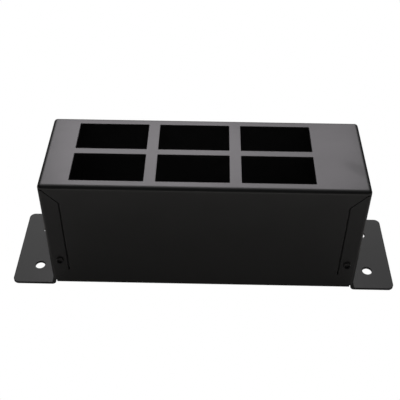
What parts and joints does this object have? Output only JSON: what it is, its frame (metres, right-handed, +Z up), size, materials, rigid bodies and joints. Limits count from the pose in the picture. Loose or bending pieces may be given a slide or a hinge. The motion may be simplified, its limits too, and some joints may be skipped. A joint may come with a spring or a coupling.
{
  "type": "desk power module housing",
  "caption": "Folded sheet-metal housing for a desk power module, with a grid of rectangular socket cut-outs in its top, a base tray and a drilled fixing ear at each end.",
  "frame": {"origin": "on the surface that the ears are screwed to, under the middle of the box and midway between the ears' tips", "axes": "+X along the box from its left end to its right end with the cable entry, +Y from the front wall to the back wall, +Z up through the cut-outs"},
  "size_m": [0.2568, 0.072, 0.089],
  "materials": {
    "powder_coat": "smooth satin black powder coat on 1.5 mm steel, 1.2 mm for the tray",
    "black_zinc": "black zinc plate on a steel machine screw",
    "zinc": "bright zinc plate",
    "brass": "plain turned brass",
    "rubber": "matt black moulded rubber"
  },
  "bodies": {
    "root": {"housing": "powder_coat", "base_tray": "powder_coat", "tray_screw_front_left": "black_zinc", "tray_nut_front_left": "zinc", "tray_screw_back_left": "black_zinc", "tray_nut_back_left": "zinc", "tray_screw_front_right": "black_zinc", "tray_nut_front_right": "zinc", "tray_screw_back_right": "black_zinc", "tray_nut_back_right": "zinc", "earth_stud": "zinc", "earth_washer": "zinc", "earth_nut": "brass", "cable_grommet": "rubber"}
  },
  "joints": []
}
